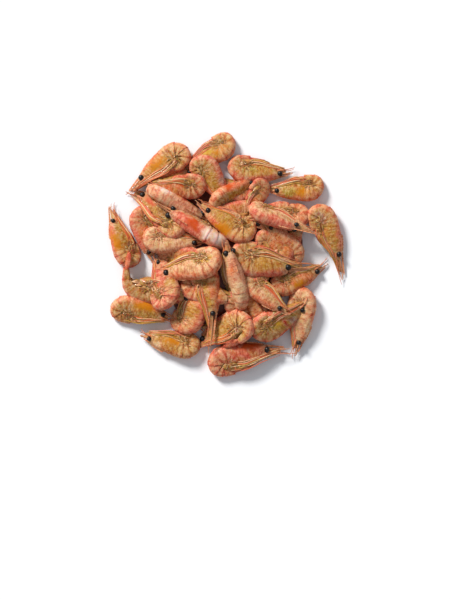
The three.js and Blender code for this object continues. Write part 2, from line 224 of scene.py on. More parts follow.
# Shrimps under the others, which only the gaps and the sides of the heap show: eye px, bend px and roll.
BURIED = [("buried", *lies, 8, ROSE, PEACH) for lies in (
    ((205, 185), (250, 195), 0), ((180, 205), (160, 240), 180), ((190, 270), (160, 290), 0),
    ((215, 300), (190, 300), 180), ((225, 325), (270, 305), 0), ((205, 255), (158, 252), 0),
    ((218, 208), (258, 210), 180), ((228, 300), (180, 285), 180), ((205, 330), (245, 345), 0),
    ((292, 256), (258, 232), 0), ((262, 275), (226, 310), 0), ((300, 232), (270, 270), 180),
    ((250, 215), (296, 210), 180))]

ring_lengths, ring_bends = np.array(RINGS).T
ring_starts = np.concatenate([[0], np.cumsum(ring_lengths)])


def stretched(v, by):
    return STRETCH_ABOUT + (v - STRETCH_ABOUT) * by


def spine(curl, tucked=False, stretch=1.0):
    """Gives the function that turns s, h above the axis and w sideways into own coordinates (u, v, w), mm. A
    tucked tail turns fully under the body, as on a shrimp that lies with its back up."""
    bends = np.radians(ring_bends) * curl
    if tucked:
        bends[3], bends[5] = np.radians(TUCKED_BENDS)
        bends[4] = np.pi - bends[:4].sum()
    angles = np.concatenate([[0], np.cumsum(bends)])
    mids = angles[:-1] + bends / 2
    us = np.concatenate([[0], np.cumsum(-ring_lengths * np.cos(mids))])
    vs = np.concatenate([[0], np.cumsum(-ring_lengths * np.sin(mids))])

    def at(s, h, w):
        s, h, w = np.broadcast_arrays(np.asarray(s, float), h, w)
        i = np.clip(np.searchsorted(ring_starts, s, side="right") - 1, 0, len(RINGS) - 1)
        share = np.clip((s - ring_starts[i]) / ring_lengths[i], 0, 1)
        run = share * ring_lengths[i]
        rest = s - ring_starts[i] - run
        angle = angles[i] + share * bends[i]
        mid = angles[i] + share * bends[i] / 2
        u = us[i] - run * np.cos(mid) - rest * np.cos(angle)
        v = vs[i] - run * np.sin(mid) - rest * np.sin(angle)
        return np.stack([u - np.sin(angle) * h, stretched(v + np.cos(angle) * h, stretch), w], -1)

    return at


def core_reach(turn):
    return CORE_RADIUS * (1 + CORE_LUMP * np.sin(3 * turn + 1) + CORE_LUMP * 0.6 * np.sin(5 * turn))


def core_height(x, y):
    share = np.hypot(x, y) / core_reach(np.arctan2(y, x))
    return np.where(share < 1, CORE_HEIGHT * (1 - np.minimum(share, 1) ** 2.4), 0.0)


def px(point):
    """A point of the frame as x and y on the table, in mm."""
    return np.array([(point[0] - HEAP_MIDDLE_PX[0]) * MM_PER_PX, (HEAP_MIDDLE_PX[1] - point[1]) * MM_PER_PX])


def lie_down(shrimp, laid):
    """Lays one shrimp as low as it goes on those that lie there already, and returns its matrix."""
    s, back, half = REST.T
    at = spine(shrimp["curl"])
    balls, tops = at(s, 0, 0), at(s, back, 0)
    rear = tops[:, 0].argmin()
    roll = math.radians(shrimp["roll"])
    own_x, own_y = EYE_U - tops[rear, 0], (EYE_V - balls[rear, 1]) * math.cos(roll)
    eye, bend = px(shrimp["eye"]), px(shrimp["bend"])
    size = math.dist(eye, bend) / math.hypot(own_x, own_y)
    heading = math.atan2(eye[1] - bend[1], eye[0] - bend[0]) - math.atan2(own_y, own_x)
    turn = Matrix.Rotation(heading, 4, "Z") @ Matrix.Rotation(roll, 4, "X")
    own = turn @ (Vector((EYE_U, EYE_V, 0)) * size)
    flat = Matrix.Translation((eye[0] - own.x, eye[1] - own.y, -own.z)) @ turn @ Matrix.Scale(size, 4)

    points = np.array([flat @ Vector(ball) for ball in balls])
    radii = np.minimum(half, back + 1) * size
    middle = points.mean(0)
    points[:, 2] -= middle[2]
    carrying = points[:, 2] > -HANGS_BELOW
    points, carried = points[carrying], radii[carrying]
    need = core_height(points[:, 0], points[:, 1]) + carried
    if laid:
        others = np.array(laid)
        reach = (carried[:, None] + others[None, :, 3]) * PRESS
        apart = np.hypot(points[:, None, 0] - others[None, :, 0], points[:, None, 1] - others[None, :, 1])
        over = others[None, :, 2] + np.sqrt(np.maximum(reach ** 2 - apart ** 2, 0))
        need = np.maximum(need, np.where(apart < reach, over, -math.inf).max(1))
    need = need - points[:, 2]
    best = None
    steps = range(-SLOPE_STEPS, SLOPE_STEPS + 1)
    tries = [(0, 0)] + [(i, j) for i in steps for j in steps if math.hypot(i, j) <= SLOPE_STEPS]
    for i, j in tries:
        a, b = i * STEEPEST / SLOPE_STEPS, j * STEEPEST / SLOPE_STEPS
        c = (need - a * (points[:, 0] - middle[0]) - b * (points[:, 1] - middle[1])).max()
        if best is None or c < best[2] - CLEARLY_LOWER:
            best = (a, b, c)
    a, b, c = best
    lean = Vector((0, 0, 1)).rotation_difference(Vector((-a, -b, 1)).normalized()).to_matrix().to_4x4()
    place = (Matrix.Translation((middle[0], middle[1], c - PRESS_DEPTH - shrimp["sink"])) @ lean
             @ Matrix.Translation((-middle[0], -middle[1], -middle[2])) @ flat)
    laid.extend([*(place @ Vector(ball)), radius] for ball, radius in zip(balls, radii))
    return place


laid, shrimps = [], []
for number, row in enumerate(SHRIMPS + BURIED):
    shrimp = {**USUAL, **dict(zip(ROW, row)), "number": number}
    back_up = BACK_UP <= shrimp["roll"] <= 180 - BACK_UP
    shrimp["place"] = np.array(lie_down(shrimp, laid if number < len(SHRIMPS) else []))
    shrimp["at"] = spine(shrimp["curl"], back_up, shrimp["stretch"])
    shrimps.append(shrimp)
seen = shrimps[:len(SHRIMPS)]

FLATTENS_BELOW, LOWEST = 3.0, 0.25


def to_heap(shrimp, own):
    """Own coordinates in mm to the heap's, in mm. What would reach into the table is pressed flat on it."""
    place = shrimp["place"]
    there = own @ place[:3, :3].T + place[:3, 3]
    room = FLATTENS_BELOW - LOWEST
    z = there[..., 2]
    pressed = LOWEST + room * np.exp(np.minimum(z - FLATTENS_BELOW, 0) / room)
    there[..., 2] = np.where(z < FLATTENS_BELOW, pressed, z)
    return there


# Carapaces: one thin stiff shield over head and chest, open below, with a low keel along its middle. Cooked,
# it is a translucent peach with a pink ridge, and roe, liver and gills tint its flanks.
def through(at, xs, ys):
    """A smooth curve through the points (xs, ys), read at `at`."""
    xs, ys = np.asarray(xs, float), np.asarray(ys, float)
    slope = np.gradient(ys, xs)
    i = np.clip(np.searchsorted(xs, at) - 1, 0, len(xs) - 2)
    gap = xs[i + 1] - xs[i]
    t = np.clip((at - xs[i]) / gap, 0, 1)
    return ((2 * t ** 3 - 3 * t ** 2 + 1) * ys[i] + (t ** 3 - 2 * t ** 2 + t) * gap * slope[i]
            + (3 * t ** 2 - 2 * t ** 3) * ys[i + 1] + (t ** 3 - t ** 2) * gap * slope[i + 1])


FLANK_FLAT = 0.85


def section(s, q, inset=0.0):
    """Height and sideways place at s of the shell's section: q is 0 on the back, 1 at the widest place, and
    more than 1 down the side plate."""
    back = through(s, SECTION_AT, BACK) - inset
    belly = through(s, SECTION_AT, BELLY) - inset
    half = through(s, SECTION_AT, HALF) - inset
    theta = np.minimum(np.abs(q), 1) * np.pi / 2
    down = np.maximum(np.abs(q) - 1, 0)
    h = np.cos(theta) ** FLANK_FLAT * back - down * belly
    w = np.sign(q) * np.sin(theta) ** FLANK_FLAT * half * (1 - 0.2 * down ** 2)
    return h, w


def smooth_step(low, high, value):
    t = np.clip((value - low) / (high - low), 0, 1)
    return t * t * (3 - 2 * t)


def bell(value, middle, wide):
    return np.exp(-((value - middle) / wide) ** 2)


def uneven(own, seed, wave):
    """A soft random swell between about -1 and 1 over own coordinates, with bumps about `wave` mm apart."""
    random = np.random.default_rng(seed)
    total = np.zeros(own.shape[:-1])
    for _ in range(7):
        direction = random.normal(size=3)
        direction *= 2 * np.pi / wave / np.linalg.norm(direction) * random.uniform(0.6, 1.5)
        total += np.sin(own @ direction + random.uniform(0, 6.3))
    return total / 3.2


def mixed(a, b, share):
    """Colours a turned towards b; either may be a hex colour. Where a carries a fourth number, that stays."""
    a, b = (rgb(colour) if isinstance(colour, str) else colour for colour in (a, b))
    colour = a[..., :3] + (b - a[..., :3]) * np.asarray(share)[..., None]
    return colour if a.shape[-1] == 3 else np.concatenate([colour, a[..., 3:]], -1)


BACK_BRIGHT = 1.05
PATCH_FULL, PATCH_GONE, PATCH_SHARE = 0.45, 1.35, 0.98
HIDES_DOTS = (AMBER, ORANGE, YELLOW, PINK_WHITE)
# Blotches: a number that keeps their swells apart, their wave in mm, their range, their colour, its share,
# and whether they lie on the flanks only.
BLOTCHES = [(700, 5.0, 0.1, 1.1, CREAM, 0.34, False), (600, 3.2, 0.2, 1.1, BROWN, 0.18, False),
            (800, 8.0, -0.5, 0.7, "#B08C2C", 0.40, True), (500, 4.5, 0.2, 1.2, "#CC5038", 0.34, False)]


def shell_tint(shrimp, heap, q, seed):
    """The colour under the shell at each point: back and flank, blotches, then the patches of this shrimp."""
    spread = uneven(heap, seed + 900, 7.0)
    side = smooth_step(0.50, 0.90, np.abs(q) + 0.10 * spread)
    tint = mixed(rgb(shrimp["back"]) * BACK_BRIGHT, shrimp["side"], side)
    flank = smooth_step(0.55, 0.95, np.abs(q))
    for step, wave, low, high, colour, most, on_flank in BLOTCHES:
        share = most * smooth_step(low, high, uneven(heap, seed + step, wave))
        tint = mixed(tint, colour, share * flank if on_flank else share)
    tint = mixed(tint, "#E0765C", 0.35 * smooth_step(0.75, 0.45, np.abs(q) + 0.08 * spread))
    eye, bend = px(shrimp["eye"]), px(shrimp["bend"])
    along = (bend - eye) / np.linalg.norm(bend - eye)
    clear = np.zeros(heap.shape[:-1])
    for colour, x, y, half_long, half_wide in shrimp["patches"]:
        off = heap[..., :2] - px((x, y))
        far = np.hypot(off @ along / half_long,
                       (off[..., 0] * along[1] - off[..., 1] * along[0]) / half_wide)
        share = 1 - smooth_step(PATCH_FULL, PATCH_GONE, far + 0.3 * uneven(heap, seed + 300, 4.0))
        tint = mixed(tint, colour, share * PATCH_SHARE)
        if colour in HIDES_DOTS:
            clear = np.maximum(clear, share)
    return np.concatenate([tint, clear[..., None]], -1)


def rides(name, mesh):
    """The object of a mesh, riding on the heap's body."""
    made = bpy.data.objects.new(name, mesh)
    scene.collection.objects.link(made)
    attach(made, "root")
    return made


class Pieces:
    """Collects closed forms for one piece: their points, faces, tints and pattern coordinates."""

    def __init__(self):
        self.points, self.faces, self.tints, self.grain, self.count = [], [], [], [], 0

    def add(self, points, faces, tints, grain):
        """points in the heap's mm, and lists of faces, four-sided ones first. All faces are turned where
        those would point inwards."""
        a, b, c, d = (points[faces[0][:, k]] for k in range(4))
        volume = sum(np.einsum("ij,ij->i", a, np.cross(*two)).sum() for two in ((b, c), (c, d)))
        for part in faces:
            self.faces.extend((part[:, ::-1 if volume < 0 else 1] + self.count).tolist())
        self.points.append(points)
        # The tints' fourth number says how far a patch shows clear of the shell's dots.
        clear = tints[:, 3:] if tints.shape[1] == 4 else np.zeros((len(tints), 1))
        self.tints.append(np.concatenate([tints[:, :3], clear], 1))
        self.grain.append(grain)
        self.count += len(points)

    def object(self, name, finish, sharp_degrees=60):
        """The mesh object, in metres, riding on the heap's body."""
        mesh = mesh_of(name, (np.concatenate(self.points) * MM).tolist(), [], self.faces,
                       tint=("FLOAT_COLOR", np.concatenate(self.tints)),
                       grain=("FLOAT_VECTOR", np.concatenate(self.grain)))
        mesh.polygons.foreach_set("use_smooth", np.ones(len(mesh.polygons), bool))
        mesh.set_sharp_from_angle(angle=math.radians(sharp_degrees))
        mesh.materials.append(finish)
        mesh.update()
        return rides(name, mesh)


def slab_faces(rows, columns):
    """Quads of a thin closed plate: an outer grid of rows by columns points, then an inner one."""
    index = np.arange(rows * columns).reshape(rows, columns)
    a, b, c, d = index[:-1, :-1], index[:-1, 1:], index[1:, 1:], index[1:, :-1]
    outer = np.stack([a, b, c, d], -1).reshape(-1, 4)
    under = rows * columns
    inner = outer[:, ::-1] + under
    rim = np.concatenate([index[0, :], index[1:, -1], index[-1, -2::-1], index[-2:0:-1, 0]])
    after = np.roll(rim, -1)
    edge = np.stack([after, rim, rim + under, after + under], -1)
    return np.concatenate([outer, inner, edge])


def plate(pieces, shrimp, outer, inner, tints, grain):
    """Adds a thin plate given as two grids of own coordinates."""
    rows, columns = outer.shape[:2]
    points = to_heap(shrimp, np.concatenate([outer.reshape(-1, 3), inner.reshape(-1, 3)]))
    both = [np.concatenate([v.reshape(-1, v.shape[-1])] * 2) for v in (tints, grain)]
    pieces.add(points, [slab_faces(rows, columns)], *both)


def pattern_place(shrimp, s, q):
    """Pattern coordinates in mm along and around the shell, moved apart from shrimp to shrimp."""
    s, q = np.broadcast_arrays(s, q)
    return np.stack([s, q * 9.0, np.full(s.shape, 40.0 * shrimp["number"])], -1)


def shell(shrimp, s, q, lift, thick, bumps, seed):
    """The outer grid, the inner grid and the tints of a piece of shell that stands `lift` off the body. Its
    bumps are given by their height and their distance, in mm."""
    plain = shrimp["at"](s, *section(s, q))
    high, wave = bumps
    lift = lift + high * uneven(plain, seed, wave)
    outer = shrimp["at"](s, *section(s, q, -lift))
    inner = shrimp["at"](s, *section(s, q, thick - lift))
    return outer, inner, shell_tint(shrimp, to_heap(shrimp, plain), q, seed)


CARAPACE_ROWS, CARAPACE_COLUMNS = 24, 31
CARAPACE_FRONT, CARAPACE_REAR = 26.3, -1.6
CARAPACE_THICK, CARAPACE_BUMPS = 0.35, (0.18, 6.0)
KEEL_HEIGHT, KEEL_WIDE = 0.55, 0.07
NECK_U, GILLS_U = 16.5, 6
# Distance forward of the rear edge, and how far down the side plate reaches there.
SIDE_EDGE_U = [-1.6, 2, 10, 18, 23, 26.3]
SIDE_EDGE = [0.95, 1.10, 1.16, 1.05, 0.78, 0.25]
carapaces = Pieces()
for shrimp in shrimps:
    u = np.linspace(CARAPACE_FRONT, CARAPACE_REAR, CARAPACE_ROWS)[:, None]
    spread = np.linspace(-1, 1, CARAPACE_COLUMNS)[None, :]
    q = np.sign(spread) * np.abs(spread) ** 1.25 * (1 + through(u, SIDE_EDGE_U, SIDE_EDGE))
    keel = KEEL_HEIGHT * bell(q, 0, KEEL_WIDE) * smooth_step(4, 18, u)
    gill_swell = 0.35 * bell(u, GILLS_U, 6) * bell(np.abs(q), 1.2, 0.4)
    neck_groove = 0.35 * bell(u, NECK_U + 2 * (np.abs(q) - 1), 1.1) * smooth_step(0.3, 0.7, np.abs(q))
    rear_bead = 0.25 * bell(u, -0.9, 0.7)
    lift = keel + gill_swell - neck_groove + rear_bead
    outer, inner, tints = shell(shrimp, -u, q, lift, CARAPACE_THICK, CARAPACE_BUMPS, shrimp["number"])
    tints = mixed(tints, CREAM, 0.3 * smooth_step(-0.4, -1.5, u))
    tints = mixed(tints, "#C6A676", 0.55 * smooth_step(18, 26, u))
    plate(carapaces, shrimp, outer, inner, tints, pattern_place(shrimp, -u, q))

# Cooked shell: chitin and bound pigment over flesh, wet. Its red dots are 0.3 mm across in life and are drawn
# at 0.8 mm so that they show; it is a little cloudy, so light goes in and spreads.
cooked_shell, tree, shader = material("cooked_shell")


def attribute(tree, name, output):
    return node(tree, "ShaderNodeAttribute", {"attribute_name": name}).outputs[output]


def noise(tree, vector, scale, detail=2.0, rough=0.5):
    return node(tree, "ShaderNodeTexNoise", None, Vector=vector, Scale=scale, Detail=detail,
                Roughness=rough).outputs["Fac"]


def ramp(tree, value, low, high, at_low=0.0, at_high=1.0):
    """at_low below low, at_high above high, even between."""
    return node(tree, "ShaderNodeMapRange", {"clamp": True}, Value=value, From_Min=low, From_Max=high,
                To_Min=at_low, To_Max=at_high).outputs[0]


def relief(tree, height, strength, deep):
    return node(tree, "ShaderNodeBump", None, Height=height, Strength=strength, Distance=deep).outputs[0]


def mix(tree, share, a, b, way="MIX"):
    settings = {"data_type": "RGBA", "blend_type": way}
    return node(tree, "ShaderNodeMix", settings, Factor=share, in_6=a, in_7=b).outputs[2]


def scaled(tree, value, by):
    return node(tree, "ShaderNodeMath", {"operation": "MULTIPLY"}, in_0=value, in_1=by).outputs[0]


DOT_MM, CLOUD_MM, PIT_MM, LINE_MM, FLECK_MM = 0.8, 2.8, 2.0, 1.2, 1.4
LINE_STRETCH = 0.22
LEFT_OVER_A_PATCH = 0.12
grain, tint = attribute(tree, "grain", "Vector"), attribute(tree, "tint", "Color")
clouds = noise(tree, grain, 1 / CLOUD_MM, 3.0, 0.6)
dots = noise(tree, grain, 1 / DOT_MM, 2.0, 0.6)
line_scale = (1 / LINE_MM, LINE_STRETCH / LINE_MM, 1.0)
across = node(tree, "ShaderNodeMapping", None, Vector=grain, Scale=line_scale).outputs[0]
lines = noise(tree, across, 1.0)
flecks = node(tree, "ShaderNodeTexVoronoi", None, Vector=grain, Scale=1 / FLECK_MM).outputs["Distance"]
left = ramp(tree, attribute(tree, "tint", "Alpha"), 0.0, 1.0, 1.0, LEFT_OVER_A_PATCH)
colour = tint
# pattern, its range, the most it gives, its colour, and how that is laid on. The pale lines, #F2CCA4, are
# painted highlight streaks.
for pattern, low, high, most, over, way in (
        (clouds, 0.48, 0.66, 0.60, "#D0846C", "MULTIPLY"), (clouds, 0.50, 0.34, 0.28, "#ECC4A0", "MIX"),
        (lines, 0.53, 0.66, 0.55, "#BE6238", "MULTIPLY"), (dots, 0.53, 0.65, 0.40, "#B8603A", "MULTIPLY"),
        (lines, 0.46, 0.34, 0.08, "#F2CCA4", "MIX"), (flecks, 0.30, 0.12, 0.24, "#F2D6B4", "MIX")):
    share = scaled(tree, scaled(tree, ramp(tree, pattern, low, high), most), left)
    colour = mix(tree, share, colour, linear(over), way)
rough = ramp(tree, clouds, 0.3, 0.7, 0.42, 0.60)
bump = relief(tree, noise(tree, grain, 1 / PIT_MM, 3.0, 0.6), 0.7, 0.40 * MM)
give(tree, shader, Base_Color=colour, Roughness=rough, Normal=bump, IOR=1.45, Specular_IOR_Level=0.17,
     Subsurface_Weight=0.25, Subsurface_Radius=(1.0, 0.30, 0.12), Subsurface_Scale=2.0 * MM, Coat_Weight=0.02,
     Coat_Roughness=0.3)

carapace_piece = carapaces.object("shrimp_carapaces", cooked_shell)
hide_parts("shrimp_heap")

# Abdomens: six stiff rings, each slid under the rear edge of the one before, with a rounded plate hanging
# down on each side. The second ring's plates lie over both neighbours. Rear edges are pale and thin.
RING_ROWS, RING_COLUMNS = 7, 23
RING_THICK, RING_BUMPS = 0.28, (0.12, 5.0)
RING_UNDER, RING_OVER = [0.2, 0.6, 0.6, 0.6, 0.6, 0.6], [1.1, 1.1, 1.1, 1.1, 1.1, 0.4]
RING_LIFT = [0.55, 0.75, 0.65, 0.60, 0.50, 0.30]
PLATE_DOWN = [1.10, 1.18, 1.02, 0.92, 0.85, 0.55]
PLATE_OVER = [0, 0.3, 0, 0, 0, 0]
PLATE_NARROWS = 0.18
abdomens = Pieces()
for shrimp in shrimps:
    for ring, length in enumerate(ring_lengths):
        share = np.linspace(0, 1, RING_ROWS)[:, None]
        start = ring_starts[ring]
        s = start - RING_UNDER[ring] + share * (length + RING_UNDER[ring] + RING_OVER[ring])
        lobe = np.sqrt(np.clip(1 - (2 * share - 1) ** 2 * 0.92, 0, 1))
        q = np.linspace(-1, 1, RING_COLUMNS)[None, :] * (1 + PLATE_DOWN[ring] * (0.62 + 0.38 * lobe))
        side = smooth_step(0.9, 1.3, np.abs(q))
        # The side plates narrow towards their tips, or they would run into each other inside the curl.
        middle = start + length / 2
        s = middle + (s - middle) * (1 - PLATE_NARROWS * side)
        lift = RING_LIFT[ring] * share ** 1.5 - 0.12 + 0.14 * bell(share, 0.93, 0.08)
        lift = lift + 0.2 * bell(share, 0.45, 0.25) * (1 - side)
        lift = lift + PLATE_OVER[ring] * side
        outer, inner, tints = shell(shrimp, s, q, lift, RING_THICK, RING_BUMPS, shrimp["number"] + 60)
        tints = mixed(tints, CREAM, 0.5 * bell(share, 0.62, 0.2))
        tints = mixed(tints, ROSE, 0.55 * smooth_step(0.82, 0.97, share))
        tints = mixed(tints, RED, 0.35 * smooth_step(0.30, 0.05, share))
        plate(abdomens, shrimp, outer, inner, tints, pattern_place(shrimp, s, q))
abdomens.object("shrimp_abdomen_rings", cooked_shell)

# Flesh: what shows of the body under the shields, between the side plates and at the mouth. It is firm,
# moist, tan muscle in the abdomen and olive liver under the chest.
FLESH_ROWS, FLESH_COLUMNS = 30, 14
FLESH_FROM, FLESH_TO = -25.5, 35.5
FLESH_INSET, FLESH_BELLY, FLESH_BOXY = 0.75, 0.86, 0.55


def boxy(theta, power):
    """Sideways share round a section; the smaller the power, the flatter are its sides."""
    return np.sign(np.sin(theta)) * np.abs(np.sin(theta)) ** power


def tube(pieces, shrimp, grid, tints, grain):
    """Adds a closed tube given as a grid of own coordinates: one row for each section, and a middle point
    added at each end."""
    rows, columns = grid.shape[:2]
    ends = np.stack([grid[0].mean(0), grid[-1].mean(0)])
    points = to_heap(shrimp, np.concatenate([grid.reshape(-1, 3), ends]))
    index = np.arange(rows * columns).reshape(rows, columns)
    after = np.roll(index, -1, axis=1)
    quads = np.stack([index[:-1], after[:-1], after[1:], index[1:]], -1).reshape(-1, 4)
    first, last = np.full(columns, rows * columns), np.full(columns, rows * columns + 1)
    caps = [np.stack([first, after[0], index[0]], -1), np.stack([last, index[-1], after[-1]], -1)]
    values = [np.concatenate([v.reshape(-1, 3), v[0, :1], v[-1, :1]])
              for v in (np.broadcast_to(tints, grid.shape), np.broadcast_to(grain, grid.shape))]
    pieces.add(points, [quads, *caps], *values)


flesh = Pieces()
for shrimp in shrimps:
    s = np.linspace(FLESH_FROM, FLESH_TO, FLESH_ROWS)[:, None]
    theta = np.linspace(0, 2 * np.pi, FLESH_COLUMNS, endpoint=False)[None, :]
    back = through(s, SECTION_AT, BACK) - FLESH_INSET
    belly = (through(s, SECTION_AT, BELLY) - FLESH_INSET) * FLESH_BELLY
    half = through(s, SECTION_AT, HALF) - FLESH_INSET
    h = np.cos(theta) * np.where(np.cos(theta) > 0, back, belly)
    grid = shrimp["at"](s, h, boxy(theta, FLESH_BOXY) * half)
    tints = mixed("#C2844A", "#946A2C", smooth_step(4, -6, s))
    tints = mixed(tints, RED, 0.3 * smooth_step(0, 1.2, uneven(grid, 5, 4.0)))
    tube(flesh, shrimp, grid, tints, pattern_place(shrimp, s, theta / 3))

# Moist flesh: fibres of cooked muscle with a thin film of water; the fibre pattern is drawn 1 mm apart.
moist_flesh, tree, shader = material("moist_cooked_flesh")
fibres = noise(tree, attribute(tree, "grain", "Vector"), 1.0, 3.0)
tint = attribute(tree, "tint", "Color")
colour = mix(tree, scaled(tree, ramp(tree, fibres, 0.40, 0.70), 0.5), tint, linear("#7A3E1C"))
bump = relief(tree, fibres, 0.5, 0.3 * MM)
give(tree, shader, Base_Color=colour, Roughness=0.45, Normal=bump, Subsurface_Weight=0.2,
     Subsurface_Radius=(1.0, 0.4, 0.2), Subsurface_Scale=1.5 * MM)
flesh.object("shrimp_flesh", moist_flesh)

# Leg bundles: the mass of folded leg bases, gills and swimming legs that fills the hollow of the curl from
# the mouth to the rings. It is soft, olive and streaked along, ends in a point in front of the mouth, and the
# single legs lie on it.
BUNDLE_U = [-27, -24, -17, -6, 4, 10]
BUNDLE_HALF = [2.3, 3.0, 4.3, 5.3, 5.2, 2.6]
MOUTH_U, MOUTH_SHARE, MOUTH_RISE = 27.0, 0.55, 0.35
BUNDLE_TAIL_U, BUNDLE_BOXY = -10, 0.7
POINT_ROWS, BUNDLE_ROWS, BUNDLE_COLUMNS = 6, 28, 20
STRAND_TOP, STRAND_DEEP, MOUTH_TOP, MOUTH_DEEP = -7.2, 6.2, -1.2, 2.8


def strand_v(u, depth):
    """Height of a strand at u: depth is 0 under the chest and 1 next to the tail. All meet at the mouth."""
    gather = smooth_step(4, 29, u)
    beside_tail = smooth_step(18, 6, u)
    rise = np.maximum(np.asarray(u, float) - MOUTH_U, 0) * MOUTH_RISE
    inside = STRAND_TOP - (STRAND_DEEP - 0.7 * beside_tail) * depth
    return inside * (1 - gather) + (MOUTH_TOP - MOUTH_DEEP * depth) * gather + rise


def bundle_half(u):
    return through(-np.asarray(u, float), BUNDLE_U, BUNDLE_HALF)


bundles = Pieces()
for shrimp in shrimps:
    number = shrimp["number"]
    mouth = 2.0 + MOUTH_SHARE * min(shrimp["beak"], 17)
    u = np.concatenate([np.linspace(MOUTH_U + mouth, MOUTH_U, POINT_ROWS)[:-1],
                        np.linspace(MOUTH_U, BUNDLE_TAIL_U, BUNDLE_ROWS)])[:, None]
    theta = np.linspace(0, 2 * np.pi, BUNDLE_COLUMNS, endpoint=False)[None, :]
    point = np.clip((u - MOUTH_U) / mouth, 0, 1)
    half = np.where(u > MOUTH_U, 2.3 * (1 - point) ** 0.8 + 0.25, bundle_half(u))
    depth = 0.50 - 0.70 * np.cos(theta) * np.minimum(1, 0.4 + half / 4) * (1 - 0.8 * point)
    v = stretched(strand_v(u, depth), shrimp["stretch"])
    w = boxy(theta, BUNDLE_BOXY) * half
    grid = np.stack(np.broadcast_arrays(u, v, w), -1)
    streak = grid * [0.35, 1.0, 1.0]
    swell = 1 + 0.10 * uneven(streak, 1100 + number, 3.0) + 0.08 * uneven(streak, 1200 + number, 1.6)
    middle = np.stack(np.broadcast_arrays(u, strand_v(u, 0.42), 0 * w), -1)
    grid = middle + (grid - middle) * swell[..., None]
    tints = mixed("#B48A3C", "#C8743C", smooth_step(-0.5, 1.0, uneven(streak, 1300 + number, 2.4)))
    tints = mixed(tints, "#C4A050", 0.7 * smooth_step(0.2, 1.1, uneven(streak, 1400 + number, 2.0)))
    tints = mixed(tints, "#5A2E10", 0.7 * smooth_step(0.3, 1.0, uneven(streak, 1500 + number, 1.8)))
    tube(bundles, shrimp, grid, tints, pattern_place(shrimp, -u * 0.4, v / 9 + w / 9))
bundles.object("shrimp_leg_bundles", moist_flesh)

# Tail fans: a narrow pointed middle plate and two oval blades on each side, half spread, one over the other.
FAN_START, FAN_THICK = 35.0, 0.3
# start sideways, spread and tilt in degrees, length, half width, height above the axis
FAN_BLADES = [(0.0, 0, 0, 13.5, 1.8, 1.6), (1.9, 4, 35, 15.0, 2.3, 0.9), (-1.9, -4, -35, 15.0, 2.3, 0.9),
              (3.2, 5, 62, 15.5, 2.6, -0.2), (-3.2, -5, -62, 15.5, 2.6, -0.2)]
FAN_ROWS, FAN_COLUMNS = 9, 7
RED_FANS = ("red_tail", "north_tail_up")
fans = Pieces()
for shrimp in shrimps:
    random = np.random.default_rng(300 + shrimp["number"])
    for start, spread, tilt, length, half_wide, height in FAN_BLADES:
        share = np.linspace(0, 1, FAN_ROWS)[:, None]
        across = np.linspace(-1, 1, FAN_COLUMNS)[None, :]
        if start == 0.0:
            outline = half_wide * (1 - 0.72 * share ** 1.2)
        else:
            oval = np.sqrt(np.clip(1 - (2 * share - 0.98) ** 2 * 0.955, 0.02, 1))
            outline = half_wide * oval * (0.7 + 0.3 * share)
        angle = math.radians(spread + random.uniform(-3, 3))
        lean = math.radians(tilt + random.uniform(-8, 8))
        along = share * length
        ridge = 0.35 * bell(across, 0, 0.25) * (1 - share) - 0.5 * across ** 2 * half_wide / 3
        w = start + along * math.sin(angle) + across * outline * math.cos(lean) + ridge * math.sin(lean)
        s = FAN_START + along * math.cos(angle) - across * outline * math.sin(angle)
        droop = height - 0.035 * along ** 1.5 * random.uniform(0.4, 1.4)
        h = droop + ridge * math.cos(lean) - across * outline * math.sin(lean)
        outer = shrimp["at"](s, h, w)
        inner = shrimp["at"](s, h - FAN_THICK * math.cos(lean), w - FAN_THICK * math.sin(lean))
        red = smooth_step(-0.6, 0.9, uneven(outer, shrimp["number"], 5.0))
        tints = mixed(PEACH, ROSE, 0.4 + 0.6 * red)
        tints = mixed(tints, RED, 0.45 * smooth_step(0.6, 1.0, np.abs(across)))
        if shrimp["name"] in RED_FANS:
            tints = mixed(tints, RED, 0.6)
        plate(fans, shrimp, outer, inner, tints, pattern_place(shrimp, s, w / 6))
fans.object("shrimp_tail_fans", cooked_shell)

# Beaks: the thin toothed blade that runs forward from the carapace's keel between the eyes. It is brittle,
# and on many of the shrimps it is broken off short.
BLADE_FROM, BLADE_FREE, BLADE_SHARE = 10.0, 24.0, 0.92
ROOT_HEIGHT, TIP_HEIGHT = 5.9, 4.6
TOOTH_MM, TOOTH_DEEP, ROWS_PER_TOOTH = 2.4, 0.7, 4
beaks = Pieces()
for shrimp in shrimps:
    tip = EYE_U + max(shrimp["beak"], 5) * BLADE_SHARE
    rows = int((tip - BLADE_FROM) / (TOOTH_MM / ROWS_PER_TOOTH)) + 2
    u = np.linspace(BLADE_FROM, tip, rows)
    share = (u - BLADE_FROM) / (tip - BLADE_FROM)
    free = ROOT_HEIGHT + (TIP_HEIGHT - ROOT_HEIGHT) * (u - BLADE_FREE) / max(tip - BLADE_FREE, 1)
    ridge = np.where(u < BLADE_FREE, through(-u, SECTION_AT, BACK), free)
    tooth = ((u - BLADE_FROM) / TOOTH_MM) % 1.0
    up = ridge + (0.75 * (1 - share) + 0.25) + TOOTH_DEEP * tooth * (1 - 0.7 * share)
    low = ridge - 0.6 - 1.1 * bell(share, 0.62, 0.22) * (1 - share)
    thick = 0.42 * (1 - share) + 0.12
    grid = np.stack([np.stack([u, v, w], -1) for v, w in (
        (up, 0 * u), (ridge, thick), (low, 0 * u), (ridge, -thick))], 1)
    tints = mixed("#DC9C70", "#C86438", 0.5 * share[:, None])
    tube(beaks, shrimp, grid, tints, pattern_place(shrimp, -u[:, None], 0.0))
beaks.object("shrimp_beaks", cooked_shell, 35)

